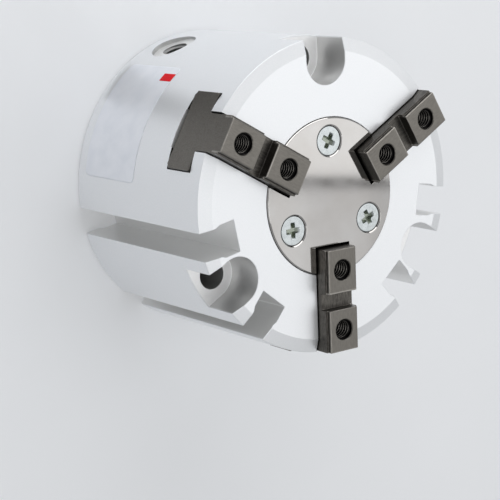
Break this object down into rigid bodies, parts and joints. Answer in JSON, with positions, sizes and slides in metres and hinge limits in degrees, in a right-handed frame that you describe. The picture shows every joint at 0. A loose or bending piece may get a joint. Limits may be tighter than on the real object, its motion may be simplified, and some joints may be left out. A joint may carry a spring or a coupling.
{
  "type": "three jaw centric gripper",
  "caption": "Round pneumatic gripper whose piston and wedge cam slide three T-slot jaws outward together in the front face of a grooved cylindrical body.",
  "frame": {"origin": "centre of the rear mounting face, on the gripper's axis", "axes": "+Z along the gripper's axis out of the front face, towards the jaws; +Y towards the mounting hole that has an air port on each side; jaw 1 slides along -Y"},
  "size_m": [0.062, 0.062, 0.047],
  "materials": {
    "body_anodised": "satin hard anodised",
    "plate_stainless": "satin stainless steel",
    "screw_zinc": "bright zinc plated",
    "jaw_steel": "dark hardened steel, ground",
    "cam_steel": "hardened steel, ground",
    "bolt_black": "black oxide",
    "piston_aluminium": "anodised, turned",
    "seal_rubber": "matte nitrile rubber",
    "wear_plastic": "filled resin",
    "magnet_plastic": "plastic bonded magnet",
    "cap_aluminium": "turned and anodised",
    "ring_spring_steel": "phosphated spring steel",
    "label_film": "satin polyester film"
  },
  "bodies": {
    "housing": {"body": "body_anodised", "end_plate": "plate_stainless", "plate_screw_1": "screw_zinc", "plate_screw_2": "screw_zinc", "plate_screw_3": "screw_zinc", "rod_seal": "seal_rubber", "rear_cap": "cap_aluminium", "cap_seal": "seal_rubber", "retaining_ring": "ring_spring_steel", "label": "label_film"},
    "drive": {"wedge_cam": "cam_steel", "cam_bolt": "bolt_black", "piston": "piston_aluminium", "piston_seal": "seal_rubber", "wear_ring": "wear_plastic", "magnet_ring": "magnet_plastic", "stem_seal": "seal_rubber"},
    "jaw_1": {"jaw_1": "jaw_steel"},
    "jaw_2": {"jaw_2": "jaw_steel"},
    "jaw_3": {"jaw_3": "jaw_steel"}
  },
  "joints": [
    {"name": "piston_slide", "type": "slide", "parent": "housing", "child": "drive", "axis": [0, 0, 1], "range_m": [0, 0.005]},
    {"name": "jaw_1_slide", "type": "slide", "parent": "housing", "child": "jaw_1", "axis": [0, -1, 0], "range_m": [0, 0.004]},
    {"name": "jaw_2_slide", "type": "slide", "parent": "housing", "child": "jaw_2", "axis": [0.866, 0.5, 0], "range_m": [0, 0.004]},
    {"name": "jaw_3_slide", "type": "slide", "parent": "housing", "child": "jaw_3", "axis": [-0.866, 0.5, 0], "range_m": [0, 0.004]}
  ],
  "couplings": [
    {"joint": "jaw_1_slide", "follows": "piston_slide", "ratio": 0.8},
    {"joint": "jaw_2_slide", "follows": "piston_slide", "ratio": 0.8},
    {"joint": "jaw_3_slide", "follows": "piston_slide", "ratio": 0.8}
  ]
}
